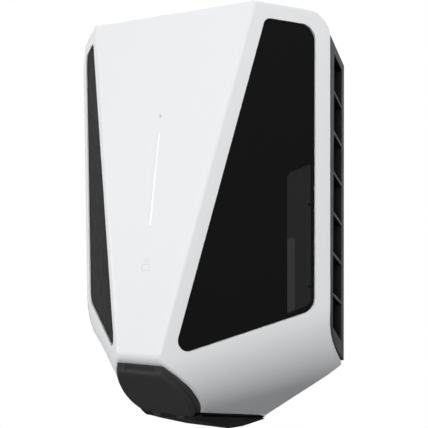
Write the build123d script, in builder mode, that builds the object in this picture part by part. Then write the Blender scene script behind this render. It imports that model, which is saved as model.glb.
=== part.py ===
from build123d import *
import os

os.makedirs("parts", exist_ok=True)

# Lengths in mm. X runs right, Y runs back to the wall (the plane y = 0), Z runs up.
# The origin lies on the wall in the middle of the four wall screws.

# Cover form: the corner points of its right half. The left half mirrors them.
COVER_W = 193.0
TOP_Z = 116.0
SIDE_LEAN = 0.016
FLARE = 1.0
FLARE_Y = 30.0
WALL_LEAN = 0.01
CORNER_RX = 12.0
CORNER_RZ = 18.0
FRONT_TOP = Vector(59.0, -70.0, TOP_Z)
FRONT_LOW = Vector(13.7, -110.3, -100.0)
SIDE_TOP = Vector(COVER_W / 2, -29.7, TOP_Z)
UNDER_OUT = Vector(96.8, 0.0, -117.2)
UNDER_IN = Vector(41.1, 0.0, -156.8)
CHIN_KNEE = Vector(0.0, -67.0, -140.9)
UNDER_KNEE = Vector(21.5, CHIN_KNEE.Y, CHIN_KNEE.Z)
CHIN_FRONT = Vector(0.0, -106.0, -106.3)
UNDER_BLEND = ((-0.25, 28.0), (0.0, 52.0), (0.1, 65.0), (0.22, 72.0), (0.5, 69.0), (1.4, 45.0))
ROLL_R = 7.0
FACET_R = 3.0
EDGE_R = 1.2
WALL = 2.5
REAR_LEAN = 0.0246
REAR_WALL_Z = -114.5
REAR_SLOPE = 0.7
REAR_R = 36.0

# Clearances between neighbouring pieces.
FIT = 0.3
GAP = 0.4
RUN = 0.05
LID_GAP = 0.4

# Window in each side facet: corner points, corner radii and how far the dark panel sits back.
WINDOW = [
    (Vector(63.9, -64.8, 106.0), 5.0),
    (Vector(88.9, -37.9, 106.0), 10.0),
    (Vector(86.5, -33.8, -77.3), 10.0),
    (Vector(20.1, -104.0, -100.5), 7.0),
]
PANEL_RECESS = 0.8

# Bare data plate and code field on the right-hand panel: corner points and radii.
PLATE = [
    (Vector(72.65, -49.9, 9.6), 5.0),
    (Vector(84.63, -37.41, 16.2), 1.0),
    (Vector(83.71, -34.97, -72.7), 5.0),
    (Vector(71.56, -47.74, -79.2), 1.0),
]
FIELD = [
    (Vector(72.13, -48.99, -31.5), 0.8),
    (Vector(75.92, -44.96, -30.5), 0.8),
    (Vector(75.3, -43.78, -76.2), 0.8),
    (Vector(71.6, -47.81, -78.2), 0.8),
]
LABEL_T = 0.2

# Light strip and dot on the middle of the front facet, given by height.
STRIP_TOP_Z = 35.3
STRIP_LOW_Z = -24.0
STRIP_W = 1.4
DOT_Z = 45.7
DOT_R = 0.9

# Back plate, its side grilles and the wall fixing.
PLATE_T = 3.5
BACK_W_WALL = 198.4
BACK_W_FRONT = 193.0
BACK_TOP_Z = 106.0
GRILLE_T = 9.0
POCKET_DEPTH = 6.5
POCKET_FRONT_Y = -21.7
POCKET_REAR_Y = -5.0
RIB_SLOPE = 0.44
RIB_PITCH = 26.65
RIB_T = 2.1
RIB_Z = 66.9
RIB_REF_Y = -24.5
POCKET_TOP_Z = 92.5
RIBS = 6
FIX_X = 125.0
FIX_Z = 160.0
FIX_R = 2.75
BOSS_R = 8.0
GRILLE_TOP_Z = 88.2
POCKET_LOW_Z = -87.0
BOSS_T = 2.5
GROMMET_BORE = 8.0
PLATE_LOW_Z = -153.5
GROMMET_R = 14.0
GROMMET_Z = 48.0

# Inner core: black housing behind the windows, with the electronics.
CORE_T = 2.5
CORE_REAR_Y = -31.0
CORE_BACK_T = 2.5
BULKHEAD = 46.0
POST_X = 72.0
POST_Z_UP = 70.0
POST_Z_LOW = -45.0
POST_R = 5.0
SCREW_R = 1.6
SCREW_LEN = 8.0
SCREW_HEAD = 1.8
BOARD_T = 1.6
BOARD_W = 124.0
BOARD_LOW_Z = -18.0
BOARD_TOP_Z = 90.0
GUIDE_FLANGE = 1.2
ANTENNA_Z = -38.0
BOARD_GAP = 7.0

# Supply terminals on the back plate and the blades up to the core.
TERMINAL_W = 84.0
TERMINAL_FRONT_Y = -21.5
TERMINAL_LOW_Z = -40.0
TERMINAL_TOP_Z = -12.0
TERMINAL_SCREW_Z = -20.0
WIRE_R = 3.6
CLAMP_R = 3.2
BLADE_COUNT = 5
BLADE_PITCH = 16.0
BLADE_T = 1.2
BLADE_FRONT_Y = -36.0
BLADE_LOW_Z = -37.0
BLADE_TOP_Z = -29.0

# Charging socket under the inclined mouth, its lid and the hinge at the knee.
SOCKET_C = 26.3
SOCKET_R = 24.0
SOCKET_WALL = 2.0
SOCKET_SINK = 4.0
SOCKET_LEN = 38.0
GROOVE_DEPTH = 28.0
TOWER_R = 19.0
TOWER_SINK = 8.0
PLUG_GAP = 0.5
CONTACT_R = 3.0
PILOT_R = 1.5
CONTACT_T = 0.7
CONTACT_X = 11.5
CONTACT_LOW_X = 7.0
CONTACT_Y = 10.5
PILOT_X = 6.0
CONTACT_DEPTH = 32.0
CONTACT_SINK = 11.0
FLANGE_W = 58.0
FLANGE_SCREW = 24.5
LOCK_W = 13.0
LOCK_L = 9.0
LOCK_R = 2.4
LOCK_TRAVEL = 5.0
LOCK_DEPTH = 25.0
LID_REVEAL = 3.2
LID_PROUD = 0.4
SKIRT_REVEAL = 2.2
SKIRT_PROUD = 1.5
SKIRT_NECK_OUT = 0.5
NECK_IN = 0.4
LID_NOSE = 8.5
SEAL_R = 23.0
SEAL_W = 2.5
SEAL_LIFT = 0.1
SKIRT_LOW_Y = -10.0
TAB_T = 3.0
LID_FRONT_T = 5.6
LID_REAR_T = 4.2
LID_LEN = 54.3
LIP_BACK = 1.7
LIP_LEVEL = 3.9
NICK_BACK = 2.3
NICK_LEVEL = 2.4
SCOOP_W = 20.0
SCOOP_BACK = 3.0
SCOOP_LEVEL = 1.9
SCOOP_LIP = 4.9
SKIRT_EDGE = [Vector(20.5, -69.0, -146.5), Vector(41.1, 0.0, -159.3), Vector(24.0, 0.0, -166.5)]
SKIRT_LOW_REAR_Z = -166.5
SKIRT_SCREWS = (-18.0, 18.0)
SKIRT_SCREW_Z = -146.0
HINGE_OUT = 3.4
PIN_R = 1.0
KNUCKLE_R = 2.0
KNUCKLE_W = 5.7
SPRING_W = 10.0
SPRING_R = 1.35
SPRING_WIRE = 0.25
SPRING_ROOM = 1.7

X_AXIS = Vector(1, 0, 0)
BIG = 320.0


def mirrored(v):
    return Vector(-v.X, v.Y, v.Z)


def outward(n, like):
    n = n.normalized()
    return n if n.dot(like) > 0 else n * -1


FACET_N = outward((SIDE_TOP - FRONT_TOP).cross(FRONT_TOP - FRONT_LOW), Vector(1, -1, 0))
UNDER_N = outward((UNDER_IN - UNDER_OUT).cross(UNDER_KNEE - UNDER_OUT), Vector(0, 0, -1))
FRONT_N = outward(X_AXIS.cross(FRONT_TOP - FRONT_LOW), Vector(0, -1, 0))
MOUTH_N = outward(X_AXIS.cross(CHIN_FRONT - CHIN_KNEE), Vector(0, -1, -1))
SKIRT_END = Vector(0.0, 0.0, UNDER_IN.Z)
SKIRT_N = outward(X_AXIS.cross(SKIRT_END - CHIN_KNEE), Vector(0, 0, -1))
MOUTH = Plane(origin=CHIN_KNEE, x_dir=X_AXIS, z_dir=MOUTH_N)
SKIRT = Plane(origin=CHIN_KNEE, x_dir=X_AXIS, z_dir=SKIRT_N)
MOUTH_LEN = (CHIN_FRONT - CHIN_KNEE).length
MOUTH_UP = (CHIN_FRONT - CHIN_KNEE).normalized()
FRONT_SLOPE = (FRONT_TOP.Y - FRONT_LOW.Y) / (FRONT_TOP.Z - FRONT_LOW.Z)
LIP_IN = SOCKET_C + SOCKET_R + PLUG_GAP


def front_y(z):
    return FRONT_TOP.Y - FRONT_SLOPE * (FRONT_TOP.Z - z)


def rear_y(z):
    return SIDE_TOP.Y + REAR_LEAN * (TOP_Z - z)


# Section across the edge between side facet and underside, with the directions of both faces in it.
def wedge(side, inset):
    n1 = FACET_N if side > 0 else mirrored(FACET_N)
    n2 = UNDER_N if side > 0 else mirrored(UNDER_N)
    p1 = FRONT_TOP if side > 0 else mirrored(FRONT_TOP)
    p2 = UNDER_IN if side > 0 else mirrored(UNDER_IN)
    d = n1.cross(n2)
    corner = (n2.cross(d) * (n1.dot(p1) - inset) + d.cross(n1) * (n2.dot(p2) - inset)) * (1 / d.dot(d))
    t1 = d.cross(n1).normalized()
    t1 = t1 if t1.dot(n2) < 0 else t1 * -1
    t2 = d.cross(n2).normalized()
    t2 = t2 if t2.dot(n1) < 0 else t2 * -1
    plane = Plane(origin=corner, x_dir=t1, z_dir=d.normalized())
    return plane, Vector(t2.dot(plane.x_dir), t2.dot(plane.y_dir), 0)


# Block bounded by one side facet and the underside. The blend between them is widest a little off the wall.
def under_block(side, inset):
    plane, t2 = wedge(side, inset)
    far = 4 * BIG
    along = plane.z_dir
    wall_at = -plane.origin.Y / along.Y
    chin_at = (CHIN_FRONT.Y - plane.origin.Y) / along.Y
    with BuildPart() as block:
        for share, radius in UNDER_BLEND:
            with BuildSketch(plane.offset(wall_at + share * (chin_at - wall_at))) as cut:
                Polygon((0, 0), (far, 0), (far * (1 + t2.X), far * t2.Y), (far * t2.X, far * t2.Y), align=None)
                fillet(cut.vertices().sort_by_distance((0, 0, 0))[0], radius - inset)
        loft(ruled=True)
    return block.part


# Front view outline with leaning sides and elliptical top corners, drawn in the current sketch.
def outline(half, top, lean, rx, rz):
    low = half - lean * BIG
    with BuildLine() as edge:
        Line((-(half - rx), top), (half - rx, top))
        EllipticalCenterArc((half - rx, top - rz), rx, rz, start_angle=0, arc_size=90)
        EllipticalCenterArc((-(half - rx), top - rz), rx, rz, start_angle=90, arc_size=90)
        Polyline((half, top - rz), (low, top - rz - BIG), (-low, top - rz - BIG), (-half, top - rz))
    make_face(edge.edges())


# Point where the front face and the mouth, both moved in by inset, meet in the middle plane.
def chin_tip(inset):
    foot = CHIN_KNEE - MOUTH_N * inset
    reach = front_y(foot.Z) + inset / abs(FRONT_N.Y) - foot.Y
    return foot + MOUTH_UP * (reach / (MOUTH_UP.Y - FRONT_SLOPE * MOUTH_UP.Z))


# Solid bounded by the cover's faces moved in by inset. With a mouth, it ends at the chin's rolled front edge.
def envelope(inset, mouth=False):
    half = COVER_W / 2 - inset
    top = TOP_Z - inset
    rx = CORNER_RX - inset
    rz = CORNER_RZ - inset
    with BuildPart() as env:
        with BuildSketch(Plane.XZ):
            outline(half + FLARE, top, WALL_LEAN, rx, rz)
        with BuildSketch(Plane.XZ.offset(FLARE_Y)):
            outline(half, top, SIDE_LEAN, rx, rz)
        loft(ruled=True)
        with BuildSketch(Plane.XZ.offset(FLARE_Y)):
            outline(half, top, SIDE_LEAN, rx, rz)
        extrude(amount=BIG / 2)
        shift = inset / abs(FRONT_N.Y)
        front = (front_y(top) + shift, top)
        with BuildSketch(Plane.YZ) as side:
            if mouth:
                tip = chin_tip(inset)
                knee = [CHIN_KNEE, SKIRT_END]
                if inset:
                    lip = CHIN_KNEE + MOUTH_UP * LIP_IN
                    knee = [lip - MOUTH_N * inset, lip + MOUTH_N * inset, Vector(0, 0, -BIG)]
                Polygon(front, *[(p.Y, p.Z) for p in (tip, *knee)], (0, top), align=None)
                fillet(side.vertices().sort_by_distance((tip.Y, tip.Z, 0))[0], ROLL_R - inset)
            else:
                Polygon(front, (front_y(-BIG) + shift, -BIG), (0, -BIG), (0, top), align=None)
        extrude(amount=BIG / 2, both=True, mode=Mode.INTERSECT)
        for side_sign in (1, -1):
            add(under_block(side_sign, inset), mode=Mode.INTERSECT)
    return env.part


# Everything behind the cover's rear edge, moved back by a gap.
def behind(gap):
    with BuildPart() as rear:
        with BuildSketch(Plane.YZ) as cut:
            knee_z = (REAR_WALL_Z - REAR_SLOPE * (SIDE_TOP.Y + REAR_LEAN * TOP_Z)) / (1 - REAR_SLOPE * REAR_LEAN)
            knee = (rear_y(knee_z) + gap, knee_z + gap / 2)
            Polygon(
                (rear_y(TOP_Z + 30) + gap, TOP_Z + 30),
                knee,
                (30, REAR_WALL_Z - REAR_SLOPE * 30 + gap),
                (30, TOP_Z + 30),
                align=None,
            )
            fillet(cut.vertices().sort_by_distance((*knee, 0))[0], REAR_R)
        extrude(amount=BIG / 2, both=True)
    return rear.part


FACET_X = Vector(0, 0, 1).cross(FACET_N).normalized()


def facet_plane(side, sink):
    n = FACET_N if side > 0 else mirrored(FACET_N)
    p = FRONT_TOP if side > 0 else mirrored(FRONT_TOP)
    x = FACET_X if side > 0 else mirrored(FACET_X)
    return Plane(origin=p - n * sink, x_dir=x, z_dir=n)


# Prism of the window outline, shrunk by margin, from depth below to height above the facet.
def window(side, margin, depth, height):
    plane = facet_plane(side, 0)
    with BuildPart() as block:
        with BuildSketch(facet_plane(side, depth)) as hole:
            flat = []
            for point, radius in WINDOW:
                local = plane.to_local_coords(point if side > 0 else mirrored(point))
                flat.append((local.X, local.Y))
            Polygon(*flat, align=None)
            for xy, (point, radius) in zip(flat, WINDOW):
                fillet(hole.vertices().sort_by_distance((*xy, 0))[0], radius)
            if margin:
                offset(amount=-margin, mode=Mode.REPLACE)
        extrude(amount=depth + height)
    return block.part


# Plane on the middle of the front facet at a height, facing out.
def front_plane(z, sink=0.0):
    return Plane(origin=Vector(0, front_y(z), z) - FRONT_N * sink, x_dir=X_AXIS, z_dir=FRONT_N)


STRIP_MID_Z = (STRIP_TOP_Z + STRIP_LOW_Z) / 2
STRIP_LEN = (STRIP_TOP_Z - STRIP_LOW_Z) / FRONT_N.dot(Vector(0, -1, 0))


# Solid beyond a plane, on the side its normal points to.
def beyond(origin, normal):
    with BuildPart() as block:
        with BuildSketch(Plane(origin=origin, z_dir=normal)):
            Rectangle(4 * BIG, 4 * BIG)
        extrude(amount=2 * BIG)
    return block.part


# Cylinder along the wall's normal: centre in x and z, from the rear y towards the front y.
def bar(x, z, r, y_rear, y_front):
    with BuildPart() as rod:
        with BuildSketch(Plane.XZ.offset(-y_rear)):
            with Locations((x, z)):
                Circle(r)
        extrude(amount=y_rear - y_front)
    return rod.part


# Box given by its limits.
def block(x0, x1, y0, y1, z0, z1):
    with BuildPart() as brick:
        with Locations(((x0 + x1) / 2, (y0 + y1) / 2, (z0 + z1) / 2)):
            Box(x1 - x0, y1 - y0, z1 - z0)
    return brick.part


def save(piece, name):
    piece.label = name
    export_step(piece, "parts/" + name + ".step")


INNER = envelope(WALL, mouth=True)
CORE_OUT = envelope(WALL + GAP)
CORE_IN = envelope(WALL + GAP + CORE_T)
CORE_FIT = envelope(WALL + GAP + CORE_T + FIT)
CHIN_SKIN = envelope(GAP)
SOCKET = Plane(
    origin=CHIN_KNEE + MOUTH_UP * SOCKET_C - MOUTH_N * SOCKET_SINK,
    x_dir=X_AXIS,
    z_dir=MOUTH_N,
)
SOCKET_OUT = SOCKET_R + SOCKET_WALL
SKIN_DEPTH = WALL + GAP + CORE_T

# Front cover: white moulded shell with two side windows, a slot for the light strip and a hole for the dot.
with BuildPart() as front_cover:
    add(envelope(0.0, mouth=True))
    facet_mid = (FRONT_TOP + FRONT_LOW) * 0.5
    creases = [front_cover.edges().sort_by_distance(p)[0] for p in (facet_mid, mirrored(facet_mid))]
    fillet(creases, FACET_R)
    rim = [Vector(0, FRONT_TOP.Y, TOP_Z)]
    rim += [(FRONT_TOP + SIDE_TOP) * 0.5, mirrored((FRONT_TOP + SIDE_TOP) * 0.5)]
    fillet([front_cover.edges().sort_by_distance(p)[0] for p in rim], EDGE_R)
    add(INNER, mode=Mode.SUBTRACT)
    add(behind(0.0), mode=Mode.SUBTRACT)
    for side in (1, -1):
        add(window(side, 0.0, SKIN_DEPTH, WALL), mode=Mode.SUBTRACT)
    with BuildSketch(front_plane(STRIP_MID_Z, SKIN_DEPTH)):
        SlotOverall(STRIP_LEN, STRIP_W, rotation=90)
    extrude(amount=SKIN_DEPTH + WALL, mode=Mode.SUBTRACT)
    with BuildSketch(front_plane(DOT_Z, SKIN_DEPTH)):
        Circle(DOT_R)
    extrude(amount=SKIN_DEPTH + WALL, mode=Mode.SUBTRACT)
    with BuildSketch(SOCKET.offset(-SOCKET_LEN)):
        Circle(SOCKET_OUT + GAP)
    extrude(amount=SOCKET_LEN, mode=Mode.SUBTRACT)
    with BuildSketch(SOCKET):
        Circle(SOCKET_R + PLUG_GAP)
    extrude(amount=BIG / 4, mode=Mode.SUBTRACT)
save(front_cover.part, "front_cover")

# Core housing: black shell behind the cover, with a raised panel in each window and a bulkhead above the socket.
BULK_FACE = CHIN_KNEE - MOUTH_N * BULKHEAD
BULK_TOP = BULK_FACE - MOUTH_N * CORE_T
with BuildPart() as bulkhead:
    with BuildSketch(Plane(origin=BULK_TOP, x_dir=X_AXIS, z_dir=MOUTH_N)):
        Rectangle(2 * BIG, 2 * BIG)
    extrude(amount=CORE_T)
    add(CORE_OUT, mode=Mode.INTERSECT)
with BuildPart() as core_housing:
    add(CORE_OUT)
    add(CORE_IN, mode=Mode.SUBTRACT)
    add(bulkhead.part)
    for side in (1, -1):
        add(window(side, GAP, SKIN_DEPTH, -PANEL_RECESS))
    add(beyond(Vector(0, CORE_REAR_Y, 0), Vector(0, 1, 0)), mode=Mode.SUBTRACT)
    add(beyond(CHIN_KNEE - MOUTH_N * SOCKET_SINK, MOUTH_N), mode=Mode.SUBTRACT)
    add(beyond(CHIN_KNEE - SKIRT_N * SOCKET_SINK, SKIRT_N), mode=Mode.SUBTRACT)
    with BuildSketch(SOCKET.offset(-SOCKET_LEN)):
        Circle(SOCKET_OUT + GAP)
    extrude(amount=SOCKET_LEN + SOCKET_SINK, mode=Mode.SUBTRACT)
    with BuildSketch(front_plane(STRIP_MID_Z, 2 * SKIN_DEPTH)):
        SlotOverall(STRIP_LEN + FIT, STRIP_W + FIT, rotation=90)
    extrude(amount=2 * SKIN_DEPTH, mode=Mode.SUBTRACT)
    with BuildSketch(front_plane(DOT_Z, 2 * SKIN_DEPTH)):
        Circle(DOT_R + FIT / 2)
    extrude(amount=2 * SKIN_DEPTH, mode=Mode.SUBTRACT)
save(core_housing.part, "core_housing")

# Core back: flat lid of the core with stand-offs for the main board, seated on the back plate's four posts.
CORE_BACK_Y = CORE_REAR_Y - CORE_BACK_T
BOARD_REAR_Y = CORE_BACK_Y - BOARD_GAP
BOARD_Y = BOARD_REAR_Y - BOARD_T
POSTS = [(x, z) for x in (-POST_X, POST_X) for z in (POST_Z_LOW, POST_Z_UP)]
STANDOFFS = [(x, z) for x in (-BOARD_W / 2 + 5, BOARD_W / 2 - 5) for z in (BOARD_LOW_Z + 5, BOARD_TOP_Z - 5)]
BLADES = [(i - (BLADE_COUNT - 1) / 2) * BLADE_PITCH for i in range(BLADE_COUNT)]
with BuildPart() as core_back:
    add(block(-BIG, BIG, CORE_BACK_Y, CORE_REAR_Y, -BIG, BIG))
    add(CORE_FIT, mode=Mode.INTERSECT)
    add(beyond(BULK_TOP - MOUTH_N * FIT, MOUTH_N), mode=Mode.SUBTRACT)
    for x, z in STANDOFFS:
        add(bar(x, z, 3.0, CORE_BACK_Y, BOARD_REAR_Y))
    for x, z in POSTS:
        add(bar(x, z, SCREW_R + FIT, CORE_REAR_Y, CORE_BACK_Y), mode=Mode.SUBTRACT)
    for x in BLADES:
        slot = block(x - BLADE_T, x + BLADE_T, CORE_BACK_Y, CORE_REAR_Y, BLADE_LOW_Z - 1, BLADE_TOP_Z + 1)
        add(slot, mode=Mode.SUBTRACT)
save(core_back.part, "core_back")

# Four screws that hold the core to the back plate's posts.
with BuildPart() as core_screws:
    for x, z in POSTS:
        add(bar(x, z, SCREW_R, CORE_REAR_Y + SCREW_LEN, CORE_BACK_Y))
        add(bar(x, z, 2 * SCREW_R, CORE_BACK_Y, CORE_BACK_Y - SCREW_HEAD))
save(core_screws.part, "core_screws")

# Main board and the parts soldered to its front: two relays, power supply, leakage sensor and two capacitors.
with BuildPart() as main_board:
    add(block(-BOARD_W / 2, BOARD_W / 2, BOARD_Y, BOARD_REAR_Y, BOARD_LOW_Z, BOARD_TOP_Z))
save(main_board.part, "main_board")
with BuildPart() as relays:
    for x in (-26.0, 26.0):
        add(block(x - 15, x + 15, BOARD_Y - 25, BOARD_Y, 58, 78))
save(relays.part, "relays")
with BuildPart() as power_supply:
    add(block(-52, -6, BOARD_Y - 22, BOARD_Y, 4, 40))
save(power_supply.part, "power_supply")
with BuildPart() as leakage_sensor:
    add(bar(18, 26, 14, BOARD_Y, BOARD_Y - 18))
    add(bar(18, 26, 8, BOARD_Y, BOARD_Y - 18), mode=Mode.SUBTRACT)
save(leakage_sensor.part, "leakage_sensor")
with BuildPart() as capacitors:
    for z in (16.0, 36.0):
        add(bar(44, z, 7, BOARD_Y, BOARD_Y - 20))
save(capacitors.part, "capacitors")

# Lamp board, light strip and dot behind the front facet, and the card reader's aerial board below them.
LENS_SINK = 0.1
LED_SINK = SKIN_DEPTH + GUIDE_FLANGE
with BuildPart() as light_guide:
    with BuildSketch(front_plane(STRIP_MID_Z, SKIN_DEPTH)):
        SlotOverall(STRIP_LEN - LENS_SINK, STRIP_W - LENS_SINK, rotation=90)
    extrude(amount=SKIN_DEPTH - LENS_SINK)
    with BuildSketch(front_plane(STRIP_MID_Z, LED_SINK)):
        Rectangle(4 * STRIP_W, STRIP_LEN + 3 * STRIP_W)
    extrude(amount=GUIDE_FLANGE)
save(light_guide.part, "light_guide")
with BuildPart() as status_lens:
    with BuildSketch(front_plane(DOT_Z, LED_SINK)):
        Circle(DOT_R - LENS_SINK)
    extrude(amount=LED_SINK - LENS_SINK)
save(status_lens.part, "status_lens")
LED_LOW_Z = STRIP_LOW_Z - 4
LED_TOP_Z = DOT_Z + 6
with BuildPart() as led_board:
    with BuildSketch(front_plane((LED_LOW_Z + LED_TOP_Z) / 2, LED_SINK + BOARD_T)):
        Rectangle(14, LED_TOP_Z - LED_LOW_Z)
    extrude(amount=BOARD_T)
save(led_board.part, "led_board")
with BuildPart() as antenna_board:
    with BuildSketch(front_plane(ANTENNA_Z, SKIN_DEPTH + BOARD_T)):
        Rectangle(30, 12)
    extrude(amount=BOARD_T)
save(antenna_board.part, "antenna_board")

# Back plate: tray on the wall with a ribbed grille down each side, wall screw bosses and core posts.
BACK_FRONT_Y = -FLARE_Y
FIXINGS = [(x, z) for x in (-FIX_X / 2, FIX_X / 2) for z in (-FIX_Z / 2, FIX_Z / 2)]
BACK_IN = BACK_W_FRONT / 2 - GRILLE_T
CORNER_A = Vector(BACK_W_WALL / 2, 0, GRILLE_TOP_Z)
CORNER_B = Vector(BACK_W_FRONT / 2, BACK_FRONT_Y, GRILLE_TOP_Z + RIB_SLOPE * FLARE_Y)
CORNER_C = Vector(BACK_W_WALL * 0.36, 0, BACK_TOP_Z)
CORNER_N = outward((CORNER_B - CORNER_A).cross(CORNER_C - CORNER_A), Vector(1, 0, 1))


def rib_z(z, y):
    return z - RIB_SLOPE * (y - RIB_REF_Y)


def pocket_floor_z(y):
    return POCKET_LOW_Z - REAR_SLOPE * (y - RIB_REF_Y)


with BuildPart() as tray_hollow:
    with BuildSketch(Plane.XZ.offset(PLATE_T)):
        outline(BACK_IN, BACK_TOP_Z - PLATE_T, SIDE_LEAN, CORNER_RX / 2, CORNER_RX / 2)
    extrude(amount=BIG / 4)
    add(beyond(CORNER_A - CORNER_N * PLATE_T, CORNER_N), mode=Mode.SUBTRACT)
    add(beyond(mirrored(CORNER_A - CORNER_N * PLATE_T), mirrored(CORNER_N)), mode=Mode.SUBTRACT)
with BuildPart() as lower_plate:
    add(block(-BIG, BIG, -PLATE_T, 0, PLATE_LOW_Z, REAR_WALL_Z + 30))
    add(CORE_OUT, mode=Mode.INTERSECT)
with BuildPart() as back_plate:
    with BuildSketch(Plane.XZ):
        outline(BACK_W_WALL / 2, BACK_TOP_Z, WALL_LEAN, CORNER_RX / 2, CORNER_RX / 2)
    with BuildSketch(Plane.XZ.offset(FLARE_Y)):
        outline(BACK_W_FRONT / 2, BACK_TOP_Z, SIDE_LEAN, CORNER_RX / 2, CORNER_RX / 2)
    loft(ruled=True)
    add(behind(FIT), mode=Mode.INTERSECT)
    for side in (1, -1):
        add(under_block(side, 0.0), mode=Mode.INTERSECT)
    add(beyond(CORNER_A, CORNER_N), mode=Mode.SUBTRACT)
    add(beyond(mirrored(CORNER_A), mirrored(CORNER_N)), mode=Mode.SUBTRACT)
    add(tray_hollow.part, mode=Mode.SUBTRACT)
    add(lower_plate.part)
    floor_x = BACK_W_FRONT / 2 - POCKET_DEPTH
    for i in range(RIBS + 1):
        corners = []
        for y in (POCKET_FRONT_Y, POCKET_REAR_Y):
            top_z = POCKET_TOP_Z if i == 0 else RIB_Z - (i - 1) * RIB_PITCH - RIB_T / 2
            low_z = pocket_floor_z(y) if i == RIBS else rib_z(RIB_Z - i * RIB_PITCH + RIB_T / 2, y)
            corners.append(((y, rib_z(top_z, y)), (y, low_z)))
        for side in (1, -1):
            with BuildSketch(Plane.YZ.offset(side * floor_x)):
                Polygon(corners[0][0], corners[1][0], corners[1][1], corners[0][1], align=None)
            extrude(amount=side * 4 * POCKET_DEPTH, mode=Mode.SUBTRACT)
    for x, z in FIXINGS:
        add(bar(x, z, BOSS_R, 0, -PLATE_T - BOSS_T))
    for x, z in POSTS:
        add(bar(x, z, POST_R, 0, CORE_REAR_Y))
    for x, z in FIXINGS:
        add(bar(x, z, FIX_R, 0, -BIG / 8), mode=Mode.SUBTRACT)
    for x, z in POSTS:
        add(bar(x, z, SCREW_R, CORE_REAR_Y + SCREW_LEN, CORE_REAR_Y), mode=Mode.SUBTRACT)
    for x in SKIRT_SCREWS:
        add(bar(x, SKIRT_SCREW_Z, SCREW_R, 0, -PLATE_T), mode=Mode.SUBTRACT)
    add(bar(0, GROMMET_Z, GROMMET_R, 0, -PLATE_T), mode=Mode.SUBTRACT)
save(back_plate.part, "back_plate")

# Rubber grommet in the back plate for the supply cable.
with BuildPart() as cable_grommet:
    add(bar(0, GROMMET_Z, GROMMET_R, 0, -PLATE_T))
    add(bar(0, GROMMET_Z, GROMMET_R + 3, -PLATE_T, -PLATE_T - 2))
    add(bar(0, GROMMET_Z, GROMMET_BORE, 0, -PLATE_T - 2), mode=Mode.SUBTRACT)
save(cable_grommet.part, "cable_grommet")

# Terminal block on the back plate, its five clamp screws and the five blades that plug into the core.
with BuildPart() as terminal_block:
    add(block(-TERMINAL_W / 2, TERMINAL_W / 2, TERMINAL_FRONT_Y, -PLATE_T, TERMINAL_LOW_Z, TERMINAL_TOP_Z))
    for x in BLADES:
        with BuildSketch(Plane.XY.offset(TERMINAL_TOP_Z)):
            with Locations((x, (TERMINAL_FRONT_Y - PLATE_T) / 2)):
                Circle(WIRE_R)
        extrude(amount=-TERMINAL_TOP_Z + TERMINAL_SCREW_Z - 5, mode=Mode.SUBTRACT)
        add(bar(x, TERMINAL_SCREW_Z, CLAMP_R, TERMINAL_FRONT_Y + 5, TERMINAL_FRONT_Y), mode=Mode.SUBTRACT)
save(terminal_block.part, "terminal_block")
with BuildPart() as terminal_screws:
    for x in BLADES:
        add(bar(x, TERMINAL_SCREW_Z, CLAMP_R, TERMINAL_FRONT_Y + 5, TERMINAL_FRONT_Y + 2))
        add(block(x - 2, x + 2, TERMINAL_FRONT_Y + 1.5, TERMINAL_FRONT_Y + 2.6, TERMINAL_SCREW_Z - 0.4,
                  TERMINAL_SCREW_Z + 0.4), mode=Mode.SUBTRACT)
save(terminal_screws.part, "terminal_screws")
with BuildPart() as contact_blades:
    for x in BLADES:
        add(block(x - BLADE_T / 2, x + BLADE_T / 2, BLADE_FRONT_Y, TERMINAL_FRONT_Y, BLADE_LOW_Z, BLADE_TOP_Z))
save(contact_blades.part, "contact_blades")

# Charging socket: flanged tube, and a base with a contact tower that leaves a ring groove for the plug.
CONTACTS = [(-CONTACT_X, 0), (0, 0), (CONTACT_X, 0), (-CONTACT_LOW_X, -CONTACT_Y), (CONTACT_LOW_X, -CONTACT_Y)]
PILOTS = [(-PILOT_X, CONTACT_Y * 0.8), (PILOT_X, CONTACT_Y * 0.8)]
FLANGE_DEPTH = BULKHEAD - SOCKET_SINK
SCREWS = [(x, y) for x in (-FLANGE_SCREW, FLANGE_SCREW) for y in (-FLANGE_SCREW, FLANGE_SCREW)]
LOCK = Plane(origin=SOCKET.origin - MOUTH_N * LOCK_DEPTH, x_dir=MOUTH_UP, z_dir=X_AXIS)
with BuildPart() as socket_body:
    with BuildSketch(SOCKET.offset(-FLANGE_DEPTH)):
        RectangleRounded(FLANGE_W, FLANGE_W, 5)
        with Locations(*SCREWS):
            Circle(SCREW_R, mode=Mode.SUBTRACT)
    extrude(amount=FLANGE_DEPTH - SOCKET_LEN)
    with BuildSketch(SOCKET.offset(-FLANGE_DEPTH)):
        Circle(SOCKET_OUT)
    extrude(amount=FLANGE_DEPTH)
    with BuildSketch(SOCKET.offset(-FLANGE_DEPTH)):
        Circle(SOCKET_R)
    extrude(amount=FLANGE_DEPTH, mode=Mode.SUBTRACT)
    with BuildSketch(LOCK):
        Circle(LOCK_R + RUN)
    extrude(amount=SOCKET_OUT + 1, mode=Mode.SUBTRACT)
save(socket_body.part, "socket_body")
with BuildPart() as contact_holes:
    with BuildSketch(SOCKET.offset(-CONTACT_DEPTH)):
        with Locations(*CONTACTS):
            Circle(CONTACT_R + CONTACT_T)
        with Locations(*PILOTS):
            Circle(PILOT_R + CONTACT_T)
    extrude(amount=CONTACT_DEPTH)
with BuildPart() as contact_base:
    with BuildSketch(SOCKET.offset(-FLANGE_DEPTH)):
        Circle(SOCKET_R - RUN)
    extrude(amount=FLANGE_DEPTH - GROOVE_DEPTH)
    add(contact_holes.part, mode=Mode.SUBTRACT)
save(contact_base.part, "contact_base")
with BuildPart() as contact_tower:
    with BuildSketch(SOCKET.offset(-GROOVE_DEPTH)):
        Circle(TOWER_R)
    extrude(amount=GROOVE_DEPTH - TOWER_SINK)
    add(contact_holes.part, mode=Mode.SUBTRACT)
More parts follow.
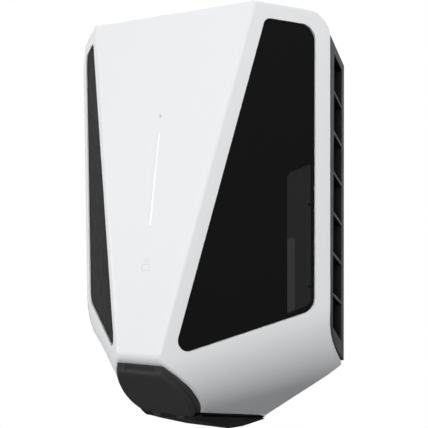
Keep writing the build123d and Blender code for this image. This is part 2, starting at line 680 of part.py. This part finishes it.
save(contact_tower.part, "contact_tower")
with BuildPart() as socket_contacts:
    with BuildSketch(SOCKET.offset(-CONTACT_DEPTH)):
        with Locations(*CONTACTS):
            Circle(CONTACT_R + CONTACT_T)
        with Locations(*PILOTS):
            Circle(PILOT_R + CONTACT_T)
    extrude(amount=CONTACT_DEPTH - CONTACT_SINK)
    with BuildSketch(SOCKET.offset(-GROOVE_DEPTH)):
        with Locations(*CONTACTS):
            Circle(CONTACT_R)
        with Locations(*PILOTS):
            Circle(PILOT_R)
    extrude(amount=GROOVE_DEPTH, mode=Mode.SUBTRACT)
save(socket_contacts.part, "socket_contacts")
with BuildPart() as socket_screws:
    with BuildSketch(SOCKET.offset(-FLANGE_DEPTH)):
        with Locations(*SCREWS):
            Circle(SCREW_R)
    extrude(amount=FLANGE_DEPTH - SOCKET_LEN)
    with BuildSketch(SOCKET.offset(-SOCKET_LEN)):
        with Locations(*SCREWS):
            Circle(2 * SCREW_R)
    extrude(amount=SCREW_HEAD)
save(socket_screws.part, "socket_screws")

# Lock for the plug: a drive on the socket's right flank and a pin that slides into the groove.
with BuildPart() as lock_actuator:
    with BuildSketch(LOCK.offset(SOCKET_OUT)):
        Rectangle(LOCK_W, LOCK_W)
    extrude(amount=LOCK_L)
    with BuildSketch(SOCKET.offset(-FLANGE_DEPTH)):
        Circle(SOCKET_OUT)
    extrude(amount=FLANGE_DEPTH, mode=Mode.SUBTRACT)
    with BuildSketch(LOCK.offset(SOCKET_R)):
        Circle(LOCK_R + RUN)
    extrude(amount=SOCKET_WALL + LOCK_L - 1, mode=Mode.SUBTRACT)
save(lock_actuator.part, "lock_actuator")
with BuildPart() as lock_pin:
    with BuildSketch(LOCK.offset(SOCKET_R + FIT)):
        Circle(LOCK_R)
    extrude(amount=SOCKET_WALL + LOCK_L - 2)
save(lock_pin.part, "lock_pin")

# Socket lid: dark flap over the inclined mouth, hinged at its lower edge, with a thin rim and a finger lip.
LID_SIDE = Plane(origin=CHIN_KNEE, x_dir=MOUTH_UP, z_dir=X_AXIS)
HINGE = CHIN_KNEE + MOUTH_N * HINGE_OUT
HINGE_SIDE = Plane(origin=HINGE, x_dir=MOUTH_UP, z_dir=X_AXIS)
KNUCKLE_X = SPRING_W / 2 + 2 * FIT
NICK = (LID_LEN - NICK_BACK, NICK_LEVEL)
LIP = (LID_LEN - LIP_BACK, LIP_LEVEL)
with BuildPart() as lid_neck:
    with BuildSketch(LID_SIDE):
        foot = 2 * FIT
        top = LID_REVEAL
        Polygon((foot, LID_GAP), (LID_LEN, LID_GAP), NICK, (NICK[0], top), (foot, top), align=None)
    extrude(amount=BIG / 4, both=True)
    add(envelope(NECK_IN), mode=Mode.INTERSECT)
with BuildPart() as socket_flap:
    with BuildSketch(LID_SIDE):
        with BuildLine():
            chin = (LID_LEN - LID_NOSE, LID_FRONT_T)
            rear = (0, LID_REAR_T)
            Spline(LIP, chin, (LID_LEN * 0.55, LID_FRONT_T - 0.2), rear, tangents=((-0.4, 1), (-1, -0.12)))
            Polyline(rear, (0, LID_REVEAL), (NICK[0] - 2 * LIP_BACK, LID_REVEAL), NICK, LIP)
        make_face()
    extrude(amount=BIG / 4, both=True)
    add(envelope(-LID_PROUD), mode=Mode.INTERSECT)
    add(lid_neck.part)
    with BuildSketch(LID_SIDE):
        edge = LID_GAP + FIT
        root = (LID_LEN - SCOOP_BACK, SCOOP_LEVEL)
        tip = (LID_LEN - LIP_BACK + FIT, SCOOP_LIP)
        Polygon((LID_LEN + 1, edge), (LID_LEN, edge), root, tip, (LID_LEN + 1, SCOOP_LIP), align=None)
    extrude(amount=SCOOP_W / 2, both=True, mode=Mode.SUBTRACT)
    with BuildSketch(HINGE_SIDE):
        Circle(KNUCKLE_R + FIT)
    extrude(amount=BIG / 4, both=True, mode=Mode.SUBTRACT)
    with BuildSketch(HINGE_SIDE.offset(KNUCKLE_X), HINGE_SIDE.offset(-KNUCKLE_X - KNUCKLE_W)):
        Circle(KNUCKLE_R)
        with Locations((KNUCKLE_R, 0)):
            Rectangle(2 * KNUCKLE_R, KNUCKLE_R)
    extrude(amount=KNUCKLE_W)
    with BuildSketch(HINGE_SIDE):
        Circle(PIN_R + RUN)
    extrude(amount=BIG / 4, both=True, mode=Mode.SUBTRACT)
    with BuildSketch(SOCKET):
        Circle(SEAL_R - SEAL_W)
    extrude(amount=SOCKET_SINK + LID_REAR_T - WALL, mode=Mode.SUBTRACT)
save(socket_flap.part, "socket_flap")

# Ring gasket inside the lid, reaching down to the socket's mouth.
with BuildPart() as flap_seal:
    with BuildSketch(SOCKET.offset(SEAL_LIFT)):
        Circle(SEAL_R)
        Circle(SEAL_R - SEAL_W, mode=Mode.SUBTRACT)
    extrude(amount=SOCKET_SINK + LID_GAP - SEAL_LIFT)
save(flap_seal.part, "flap_seal")

# Skirt: dark lower body behind the lid, from the hinge back to the wall, screwed to the back plate.
SKIRT_START_Y = HINGE.Y - KNUCKLE_R
SKIRT_LOW = Vector(0, SKIRT_LOW_Y, SKIRT_LOW_REAR_Z)
SKIRT_UNDER_N = outward(X_AXIS.cross(SKIRT_LOW - HINGE), Vector(0, 0, -1))
SKIRT_EDGE_N = (SKIRT_EDGE[1] - SKIRT_EDGE[0]).cross(SKIRT_EDGE[2] - SKIRT_EDGE[0])
SKIRT_EDGE_N = outward(SKIRT_EDGE_N, Vector(0, 0, -1))
PIN_HALF = KNUCKLE_X + 2 * KNUCKLE_W


def skirt_z(y, level):
    return CHIN_KNEE.Z + (SKIRT_N.Y * (y - CHIN_KNEE.Y) - level) / -SKIRT_N.Z


with BuildPart() as skirt_neck:
    with BuildSketch(Plane.YZ):
        y0 = SKIRT_START_Y
        y1 = -FIT
        near = [(y0, skirt_z(y0, LID_GAP)), (y1, skirt_z(y1, LID_GAP))]
        far = [(y1, skirt_z(y1, LID_GAP + SKIRT_REVEAL)), (y0, skirt_z(y0, LID_GAP + SKIRT_REVEAL))]
        Polygon(*near, *far, align=None)
    extrude(amount=BIG / 4, both=True)
    add(envelope(-SKIRT_NECK_OUT), mode=Mode.INTERSECT)
    add(beyond(HINGE, MOUTH_UP), mode=Mode.SUBTRACT)
with BuildPart() as skirt:
    with BuildSketch(Plane.YZ):
        with BuildLine():
            y0 = SKIRT_START_Y
            edge = HINGE + SKIRT_UNDER_N * (KNUCKLE_R - FIT)
            start = (edge.Y, edge.Z)
            low = (SKIRT_LOW.Y, SKIRT_LOW.Z)
            end = (-FIT, SKIRT_LOW_REAR_Z)
            top = [(y, skirt_z(y, SKIRT_REVEAL)) for y in (-FIT, y0)]
            Polyline(start, low, end, *top, start)
        make_face()
    extrude(amount=BIG / 4, both=True)
    add(beyond(HINGE, MOUTH_UP), mode=Mode.SUBTRACT)
    with BuildSketch(HINGE_SIDE):
        Circle(KNUCKLE_R)
    extrude(amount=BIG / 4, both=True)
    add(envelope(-SKIRT_PROUD), mode=Mode.INTERSECT)
    add(beyond(SKIRT_EDGE[0], SKIRT_EDGE_N), mode=Mode.SUBTRACT)
    add(beyond(mirrored(SKIRT_EDGE[0]), mirrored(SKIRT_EDGE_N)), mode=Mode.SUBTRACT)
    add(skirt_neck.part)
    with BuildSketch(HINGE_SIDE.offset(KNUCKLE_X - FIT), HINGE_SIDE.offset(-KNUCKLE_X - KNUCKLE_W - FIT)):
        Circle(KNUCKLE_R + FIT)
    extrude(amount=KNUCKLE_W + 2 * FIT, mode=Mode.SUBTRACT)
    with BuildSketch(HINGE_SIDE):
        Circle(PIN_R)
    extrude(amount=PIN_HALF, both=True, mode=Mode.SUBTRACT)
    with BuildSketch(HINGE_SIDE):
        Circle(SPRING_ROOM)
    extrude(amount=SPRING_W / 2, both=True, mode=Mode.SUBTRACT)
    for x in SKIRT_SCREWS:
        add(block(x - 5, x + 5, -PLATE_T - TAB_T, -PLATE_T, skirt_z(-PLATE_T, LID_GAP + 1), SKIRT_SCREW_Z + 6))
        add(bar(x, SKIRT_SCREW_Z, SCREW_R, -PLATE_T, -PLATE_T - TAB_T), mode=Mode.SUBTRACT)
save(skirt.part, "skirt")
with BuildPart() as skirt_screws:
    for x in SKIRT_SCREWS:
        add(bar(x, SKIRT_SCREW_Z, SCREW_R, 0, -PLATE_T - TAB_T))
        add(bar(x, SKIRT_SCREW_Z, 2 * SCREW_R, -PLATE_T - TAB_T, -PLATE_T - TAB_T - SCREW_HEAD))
save(skirt_screws.part, "skirt_screws")

# Hinge pin pressed into the roll on the skirt's front edge, and the closing spring hidden in its middle.
with BuildPart() as hinge_pin:
    with BuildSketch(HINGE_SIDE):
        Circle(PIN_R)
    extrude(amount=PIN_HALF, both=True)
save(hinge_pin.part, "hinge_pin")
with BuildPart() as flap_spring:
    turns = 5
    length = SPRING_W - 4 * SPRING_WIRE
    with BuildLine() as coil:
        start = HINGE - X_AXIS * (length / 2)
        Helix(pitch=length / turns, height=length, radius=SPRING_R, center=start, direction=X_AXIS)
    with BuildSketch(Plane(origin=coil.line @ 0, z_dir=coil.line % 0)):
        Circle(SPRING_WIRE)
    sweep(path=coil.line)
save(flap_spring.part, "flap_spring")

# Bare data plate and code field stuck on the right-hand dark panel.
for name, corners, sink in (
    ("rating_plate", PLATE, PANEL_RECESS),
    ("code_field", FIELD, PANEL_RECESS - LABEL_T),
):
    plane = facet_plane(1, sink)
    with BuildPart() as label:
        with BuildSketch(plane) as face:
            flat = [plane.to_local_coords(point) for point, radius in corners]
            Polygon(*[(v.X, v.Y) for v in flat], align=None)
            for v, (point, radius) in zip(flat, corners):
                fillet(face.vertices().sort_by_distance((v.X, v.Y, 0))[0], radius)
        extrude(amount=LABEL_T)
    save(label.part, name)
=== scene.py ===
import math

import bmesh
import bpy
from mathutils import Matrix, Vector


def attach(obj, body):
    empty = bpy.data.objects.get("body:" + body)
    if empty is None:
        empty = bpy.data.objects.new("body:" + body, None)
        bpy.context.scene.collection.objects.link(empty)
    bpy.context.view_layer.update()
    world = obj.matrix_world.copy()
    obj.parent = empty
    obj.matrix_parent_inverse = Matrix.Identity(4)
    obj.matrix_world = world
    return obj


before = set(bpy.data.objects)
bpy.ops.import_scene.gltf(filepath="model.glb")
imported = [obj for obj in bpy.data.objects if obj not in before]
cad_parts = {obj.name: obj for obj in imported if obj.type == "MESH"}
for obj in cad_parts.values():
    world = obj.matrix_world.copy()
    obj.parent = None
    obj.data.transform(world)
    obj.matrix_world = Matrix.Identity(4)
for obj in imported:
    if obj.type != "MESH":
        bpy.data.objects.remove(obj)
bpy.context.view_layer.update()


# Front cover: one white injection-moulded shell that clips over the core.
# Satin white plastic with a very fine grain, a touch uneven in gloss,
# and edges softened by the mould.
def add_node(tree, kind, values=None):
    made = tree.nodes.new("ShaderNode" + kind)
    for socket, value in (values or {}).items():
        made.inputs[socket].default_value = value
    return made


def colour_mix(tree, values):
    made = tree.nodes.new("ShaderNodeMix")
    made.data_type = "RGBA"
    for socket, colour in values.items():
        made.inputs[socket].default_value = (*colour, 1)
    return made


def moulded(name, colour, tint, roughness, spread, grain, depth, specular,
            edge=0.0004, painted_highlight=0.0, painted_shade_reach=0.0):
    material = bpy.data.materials.new(name)
    material.use_nodes = True
    tree = material.node_tree
    link = tree.links.new
    shader = tree.nodes["Principled BSDF"]
    shader.inputs["Specular IOR Level"].default_value = specular
    place = add_node(tree, "TexCoord").outputs["Object"]

    # The colour drifts towards the tint in soft clouds.
    cloud = add_node(tree, "TexNoise", {"Scale": 22.0, "Detail": 4.0})
    shade = colour_mix(tree, {"A": colour, "B": tint})
    link(place, cloud.inputs["Vector"])
    link(cloud.outputs["Fac"], shade.inputs["Factor"])
    skin = shade.outputs["Result"]

    # The gloss varies by the spread in small patches.
    polish = add_node(tree, "TexNoise", {"Scale": 140.0, "Detail": 3.0})
    gloss = add_node(tree, "MapRange", {
        "From Min": 0.3, "From Max": 0.7,
        "To Min": roughness - spread, "To Max": roughness + spread,
    })
    link(place, polish.inputs["Vector"])
    link(polish.outputs["Fac"], gloss.inputs["Value"])
    link(gloss.outputs["Result"], shader.inputs["Roughness"])

    # The mould leaves fine pores on the faces and a small radius on every edge.
    pores = add_node(tree, "TexNoise", {"Scale": grain, "Detail": 2.0})
    relief = add_node(tree, "Bump", {"Distance": depth, "Strength": 0.6})
    softened = add_node(tree, "Bevel", {"Radius": edge})
    softened.samples = 4
    link(place, pores.inputs["Vector"])
    link(pores.outputs["Fac"], relief.inputs["Height"])
    link(softened.outputs["Normal"], relief.inputs["Normal"])
    link(relief.outputs["Normal"], shader.inputs["Normal"])

    # Edges are painted paler than the faces between them, a painted highlight where they catch the
    # light.
    if painted_highlight:
        flat = add_node(tree, "NewGeometry")
        turn = add_node(tree, "VectorMath")
        turn.operation = "DOT_PRODUCT"
        edge_highlight = add_node(tree, "MapRange", {"From Min": 0.995, "From Max": 0.85, "To Max": painted_highlight})
        gain, haze = 3.0, 0.02
        pale = colour_mix(tree, {"B": [min(1.0, gain * c + haze) for c in colour]})
        link(flat.outputs["Normal"], turn.inputs[0])
        link(softened.outputs["Normal"], turn.inputs[1])
        link(turn.outputs["Value"], edge_highlight.inputs["Value"])
        link(edge_highlight.outputs["Result"], pale.inputs["Factor"])
        link(skin, pale.inputs["A"])
        skin = pale.outputs["Result"]

    # Hollows are painted darker as shade, found by ambient occlusion within the given reach.
    if painted_shade_reach:
        open_sky = add_node(tree, "AmbientOcclusion", {"Distance": painted_shade_reach})
        open_sky.samples = 8
        exposed = add_node(tree, "MapRange", {"From Min": 0.45, "From Max": 0.9})
        darkest = 0.06
        dark = colour_mix(tree, {"A": [darkest * c for c in colour]})
        link(open_sky.outputs["AO"], exposed.inputs["Value"])
        link(exposed.outputs["Result"], dark.inputs["Factor"])
        link(skin, dark.inputs["B"])
        skin = dark.outputs["Result"]

    link(skin, shader.inputs["Base Color"])
    return material


def finish_nodes(material, *names):
    for name in names:
        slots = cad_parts[name].data.materials
        slots.clear()
        slots.append(material)


cover_white = moulded(
    "cover_white", (0.84, 0.85, 0.86), (0.825, 0.838, 0.85),
    roughness=0.45, spread=0.05, grain=2600.0, depth=0.00002, specular=0.3,
)
finish_nodes(cover_white, "front_cover")


# Card mark: a faint sign for a card reader, on the front facet below the light strip.
# A rounded card outline with two waves above it, printed on the cover as a thin film
# of pale grey ink.
def ribbon(name, origin, right, up, strokes, width, height):
    out = right.cross(up)
    ink = bmesh.new()
    for points, closed in strokes:
        count = len(points)
        rows = []
        for i in range(count):
            before = points[i - 1] if closed or i else points[i]
            after = points[(i + 1) % count] if closed or i + 1 < count else points[i]
            along = (Vector(after) - Vector(before)).normalized()
            side = Vector((-along.y, along.x)) * (width / 2)
            row = []
            for sign, level in ((-1, 0), (1, 0), (1, height), (-1, height)):
                flat = Vector(points[i]) + side * sign
                row.append(ink.verts.new(origin + right * flat.x + up * flat.y + out * level))
            rows.append(row)
        for i in range(count if closed else count - 1):
            a, b = rows[i], rows[(i + 1) % count]
            for j in range(4):
                ink.faces.new((a[j], a[(j + 1) % 4], b[(j + 1) % 4], b[j]))
        if not closed:
            ink.faces.new(rows[0][::-1])
            ink.faces.new(rows[-1])
    bmesh.ops.recalc_face_normals(ink, faces=ink.faces)
    mesh = bpy.data.meshes.new(name)
    ink.to_mesh(mesh)
    ink.free()
    piece = bpy.data.objects.new(name, mesh)
    bpy.context.scene.collection.objects.link(piece)
    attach(piece, "box")
    return piece


def arc(centre, radius, start, end, steps):
    turns = [math.radians(start + (end - start) * i / steps) for i in range(steps + 1)]
    return [(centre[0] + radius * math.cos(t), centre[1] + radius * math.sin(t)) for t in turns]


front_right = Vector((1, 0, 0))
front_up = Vector((0.0, 0.1834, 0.9830)).normalized()
front_out = front_right.cross(front_up)
ink_lift, ink_height = 0.00002, 0.00003
mark_at = Vector((-0.00015, -0.10078, -0.0489)) + front_out * ink_lift
half_width, half_height, corner_radius = 0.0026, 0.0018, 0.0008
card = []
for x, z, start in ((1, 1, 0), (-1, 1, 90), (-1, -1, 180), (1, -1, 270)):
    centre = (x * (half_width - corner_radius), z * (half_height - corner_radius))
    card += arc(centre, corner_radius, start, start + 90, steps=6)
wave_gap, wave_radii = 0.0003, (0.0016, 0.0029)
wave_foot = (0.0, half_height + wave_gap)
waves = [(arc(wave_foot, radius, start=50, end=130, steps=14), False) for radius in wave_radii]
card_mark = ribbon(
    "card_mark", mark_at, front_right, front_up, [(card, True)] + waves,
    width=0.00055, height=ink_height,
)
mark_grey = moulded(
    "mark_grey", (0.74, 0.75, 0.76), (0.72, 0.73, 0.745),
    roughness=0.5, spread=0.04, grain=1800.0, depth=0.000005, specular=0.3, edge=0.00001,
)
card_mark.data.materials.append(mark_grey)


# Core housing: black moulded shell behind the cover, seen as the smooth panel in each side window.
# Its plastic has a close satin surface that hardly mirrors anything face on.
# Four screws hold it to the back plate's posts.
panel_black = moulded(
    "panel_black", (0.0086, 0.0086, 0.0087), (0.0080, 0.0080, 0.0081),
    roughness=0.5, spread=0.04, grain=3000.0, depth=0.000008, specular=0.011,
)
finish_nodes(panel_black, "core_housing")


# Light strip and status lens: frosted clear plastic pressed through the cover from behind.
# The strip glows a little brighter than the cover, and the lens is a little greyer.
strip_white = moulded(
    "strip_white", (0.93, 0.94, 0.95), (0.90, 0.915, 0.93),
    roughness=0.3, spread=0.05, grain=1800.0, depth=0.00001, specular=0.5,
)
strip_light = strip_white.node_tree.nodes["Principled BSDF"].inputs
strip_light["Emission Color"].default_value = (1.0, 1.0, 1.0, 1)
strip_light["Emission Strength"].default_value = 0.12
finish_nodes(strip_white, "light_guide")
lens_grey = moulded(
    "lens_grey", (0.62, 0.63, 0.64), (0.58, 0.59, 0.60),
    roughness=0.25, spread=0.04, grain=1800.0, depth=0.00001, specular=0.5,
)
finish_nodes(lens_grey, "status_lens")


# Data plate and code field: thin dark films stuck on the right-hand panel, without lettering.
# Both are satin polyester, the field one shade lighter than the plate.
plate_film = moulded(
    "plate_film", (0.0165, 0.0165, 0.0167), (0.015, 0.015, 0.0152),
    roughness=0.55, spread=0.05, grain=900.0, depth=0.000006, specular=0.08, edge=0.0001,
)
finish_nodes(plate_film, "rating_plate")
field_film = moulded(
    "field_film", (0.036, 0.036, 0.0365), (0.033, 0.033, 0.0335),
    roughness=0.55, spread=0.05, grain=900.0, depth=0.000006, specular=0.08, edge=0.0001,
)
finish_nodes(field_film, "code_field")


# Plate marks: a hairline down the plate's outer side and two small register marks at its edge.
# All three are printed on the film, the hairline in dark grey ink and the register marks in black.
millimetre = 0.001
plate_corners = (
    (72.86, -50.095, 9.592), (84.776, -37.546, 16.195),
    (83.845, -35.096, -72.705), (71.712, -47.882, -79.206),
)
plate = [Vector(corner) * millimetre for corner in plate_corners]
top_edge, left_edge = plate[1] - plate[0], plate[0] - plate[3]
plate_right = Vector((top_edge.x, top_edge.y, 0)).normalized()
plate_out = top_edge.cross(left_edge).normalized()
plate_up = plate_out.cross(plate_right)


def on_plate(across, down):
    top = plate[0].lerp(plate[1], across)
    low = plate[3].lerp(plate[2], across)
    return top.lerp(low, down) + plate_out * ink_lift


hair_across = 0.85
hair_top = on_plate(hair_across, down=0.03)
hair_run = on_plate(hair_across, down=0.96) - hair_top
hair = [(0.0, 0.0), (hair_run.dot(plate_right), hair_run.dot(plate_up))]
plate_hairline = ribbon(
    "plate_hairline", hair_top, plate_right, plate_up, [(hair, False)],
    width=0.0003, height=ink_height,
)
hair_grey = moulded(
    "hair_grey", (0.024, 0.024, 0.0235), (0.021, 0.021, 0.0205),
    roughness=0.55, spread=0.04, grain=900.0, depth=0.000005, specular=0.15, edge=0.00001,
)
plate_hairline.data.materials.append(hair_grey)

register_black = moulded(
    "register_black", (0.007, 0.007, 0.007), (0.006, 0.006, 0.006),
    roughness=0.55, spread=0.04, grain=900.0, depth=0.000005, specular=0.011, edge=0.00001,
)
register_across = 0.94
spot = [(-0.0013, 0.0), (0.0011, 0.0)]
for number, down in enumerate((0.286, 0.877), 1):
    register = ribbon(
        f"plate_register_{number}", on_plate(register_across, down), plate_right, plate_up,
        [(spot, False)], width=0.0018, height=ink_height,
    )
    register.data.materials.append(register_black)


# Back plate: dark grey moulded tray screwed to the wall, with a ribbed grille down each side.
# Plain spark-eroded texture, a little lighter than the lid.
# The core's rear lid is moulded in the same plastic.
# Its edges are painted paler as a highlight, and its hollows are painted darker as shade.
tray_grey = moulded(
    "tray_grey", (0.066, 0.066, 0.067), (0.058, 0.058, 0.059),
    roughness=0.6, spread=0.06, grain=1500.0, depth=0.00003, specular=0.05,
    edge=0.0003, painted_highlight=0.2, painted_shade_reach=0.03,
)
finish_nodes(tray_grey, "back_plate", "core_back")


# Socket lid: dark moulded flap over the charging socket, with a finger scoop at its front.
# Dark plastic with a fine grain and generously rounded edges.
# It swings down on the pin along the skirt's front edge.
lid_dark = moulded(
    "lid_dark", (0.050, 0.050, 0.0505), (0.044, 0.044, 0.0444),
    roughness=0.5, spread=0.06, grain=1600.0, depth=0.00002, specular=0.08, edge=0.0012,
)
finish_nodes(lid_dark, "socket_flap")


# Skirt: dark moulded body under the cover, from the lid's hinge back to the wall.
# Same grain as the lid, in a duller and deeper black.
# Two screws hold it to the back plate.
# Its hollows are painted a little darker as shade.
skirt_black = moulded(
    "skirt_black", (0.022, 0.022, 0.0222), (0.019, 0.019, 0.0192),
    roughness=0.6, spread=0.06, grain=1600.0, depth=0.00002, specular=0.04,
    edge=0.001, painted_shade_reach=0.004,
)
finish_nodes(skirt_black, "skirt")


# Gasket under the lid and grommet of the cable entry.
# Both are black rubber with a dull, slightly dusty skin.
# The gasket is glued into the lid, the grommet is buttoned into the back plate.
rubber_black = moulded(
    "rubber_black", (0.016, 0.016, 0.016), (0.024, 0.024, 0.024),
    roughness=0.8, spread=0.08, grain=700.0, depth=0.00005, specular=0.3,
)
finish_nodes(rubber_black, "flap_seal", "cable_grommet")


# Charging socket, plug lock and supply terminals: tube, base and contact tower in black
# glass-filled plastic, drive housing and terminal block moulded in grey.
# The tube is screwed to the core's bulkhead, and the drive sits on its right flank.
socket_black = moulded(
    "socket_black", (0.012, 0.012, 0.0125), (0.016, 0.016, 0.0165),
    roughness=0.45, spread=0.06, grain=900.0, depth=0.00003, specular=0.4,
)
finish_nodes(socket_black, "socket_body", "contact_base", "contact_tower")
drive_grey = moulded(
    "drive_grey", (0.29, 0.30, 0.31), (0.26, 0.27, 0.28),
    roughness=0.5, spread=0.06, grain=900.0, depth=0.00003, specular=0.4,
)
finish_nodes(drive_grey, "lock_actuator", "terminal_block")


# Metal pieces: zinc-plated screws, hinge pin, spring and lock pin, and silver-plated contacts.
# Turned, wound or stamped, with a fine and slightly uneven plating.
def plated(name, colour, tint, roughness):
    material = moulded(
        name, colour, tint, roughness,
        spread=0.08, grain=1200.0, depth=0.00002, specular=0.5, edge=0.0002,
    )
    material.node_tree.nodes["Principled BSDF"].inputs["Metallic"].default_value = 1.0
    return material


zinc = plated("zinc", (0.62, 0.62, 0.64), (0.54, 0.54, 0.56), roughness=0.32)
finish_nodes(zinc, "core_screws", "terminal_screws", "socket_screws", "skirt_screws")
finish_nodes(zinc, "hinge_pin", "flap_spring", "lock_pin")
silver = plated("silver", (0.78, 0.75, 0.68), (0.70, 0.66, 0.57), roughness=0.28)
finish_nodes(silver, "socket_contacts", "contact_blades")


# Electronics in the core: green boards and dark moulded components.
# The boards are glass-fibre laminate under a glossy mask.
board_green = moulded(
    "board_green", (0.018, 0.11, 0.045), (0.014, 0.085, 0.036),
    roughness=0.3, spread=0.06, grain=500.0, depth=0.00002, specular=0.5,
)
finish_nodes(board_green, "main_board", "led_board", "antenna_board")
part_black = moulded(
    "part_black", (0.025, 0.025, 0.027), (0.032, 0.032, 0.034),
    roughness=0.4, spread=0.08, grain=700.0, depth=0.00003, specular=0.4,
)
finish_nodes(part_black, "relays", "power_supply", "leakage_sensor", "capacitors")


# Floor: pale studio floor well below the box, which hangs at waist height.
# It looks nearly white from the camera but throws little light up, and it keeps the box's shadow.
def rays_seen(tree, *kinds):
    path = add_node(tree, "LightPath")
    seen = path.outputs[kinds[0]]
    for kind in kinds[1:]:
        either = add_node(tree, "Math")
        either.operation = "MAXIMUM"
        tree.links.new(seen, either.inputs[0])
        tree.links.new(path.outputs[kind], either.inputs[1])
        seen = either.outputs[0]
    return seen


def blend_shaders(tree, share, first, second, output):
    both = add_node(tree, "MixShader")
    tree.links.new(share, both.inputs["Fac"])
    tree.links.new(first, both.inputs[1])
    tree.links.new(second, both.inputs[2])
    tree.links.new(both.outputs["Shader"], tree.nodes[output].inputs["Surface"])


bpy.ops.mesh.primitive_plane_add(size=6.0, location=(0, -1.0, -1.1))
floor = bpy.context.object
floor.name = "floor"
floor_pale = bpy.data.materials.new("floor_pale")
floor_pale.use_nodes = True
floor_tree = floor_pale.node_tree
ground = floor_tree.nodes["Principled BSDF"]
ground.inputs["Base Color"].default_value = (0.45, 0.45, 0.45, 1)
ground.inputs["Roughness"].default_value = 0.9
glow = add_node(floor_tree, "Emission")
white_share = add_node(floor_tree, "Math")
white_share.operation = "MULTIPLY"
white_share.inputs[1].default_value = 0.8
floor_seen = rays_seen(floor_tree, "Is Camera Ray", "Is Transmission Ray")
floor_tree.links.new(floor_seen, white_share.inputs[0])
blend_shaders(
    floor_tree, white_share.outputs[0], ground.outputs["BSDF"], glow.outputs["Emission"],
    output="Material Output",
)
floor.data.materials.append(floor_pale)


# Studio: plain white surroundings, as they show in the picture and in glossy surfaces.
# They light the box only faintly.
world = bpy.data.worlds.new("studio")
bpy.context.scene.world = world
world.use_nodes = True
world_tree = world.node_tree
dim = world_tree.nodes["Background"]
dim.inputs["Color"].default_value = (0.92, 0.96, 1.0, 1)
dim.inputs["Strength"].default_value = 0.02
bright = add_node(world_tree, "Background", {"Color": (1, 1, 1, 1)})
world_seen = rays_seen(world_tree, "Is Camera Ray", "Is Glossy Ray", "Is Transmission Ray")
blend_shaders(
    world_tree, world_seen, dim.outputs["Background"], bright.outputs["Background"],
    output="World Output",
)


# Lamps: six square softboxes around the box, four before the wall's plane and two behind it.
# Each throws a narrowed beam at the box and stays out of the picture.
def softbox(name, place, aim, size, power):
    lamp = bpy.data.lights.new(name, "AREA")
    lamp.shape = "SQUARE"
    lamp.size = size
    lamp.energy = power
    lamp.spread = math.radians(80)
    holder = bpy.data.objects.new(name, lamp)
    bpy.context.scene.collection.objects.link(holder)
    holder.location = place
    holder.visible_camera = False
    holder.rotation_euler = (Vector(aim) - Vector(place)).to_track_quat("-Z", "Y").to_euler()


softbox("front", place=(0.3, -1.8, 0.3), aim=(0, -0.05, 0), size=0.9, power=4.6)
softbox("right_high", place=(1.3, -0.6, 1.3), aim=(0, 0, 0), size=1.4, power=4.8)
softbox("left", place=(-1.6, -0.5, 0.2), aim=(0, 0, 0), size=0.8, power=2.9)
softbox("top", place=(0.1, -0.3, 1.7), aim=(0, 0, 0), size=1.0, power=0.8)
softbox("back_left", place=(-0.9, 1.6, 0.8), aim=(0, 0, 0), size=1.4, power=3.0)
softbox("back_right", place=(0.6, 1.8, 0.4), aim=(0, 0, 0), size=1.4, power=2.5)


# Camera: where the photograph was taken from, a little to the right of the box.
# It looks slightly up, through a lens a little longer than normal.
lens = bpy.data.cameras.new("camera")
lens.sensor_width = 36.0
lens.lens = 53.0
lens.clip_start = 0.01
camera = bpy.data.objects.new("camera", lens)
bpy.context.scene.collection.objects.link(camera)
camera.location = (0.1878, -0.4322, -0.0335)
camera.rotation_euler = (math.radians(92.52), 0.0, math.radians(23.39))
bpy.context.scene.camera = camera
bpy.context.scene.view_settings.view_transform = "Standard"
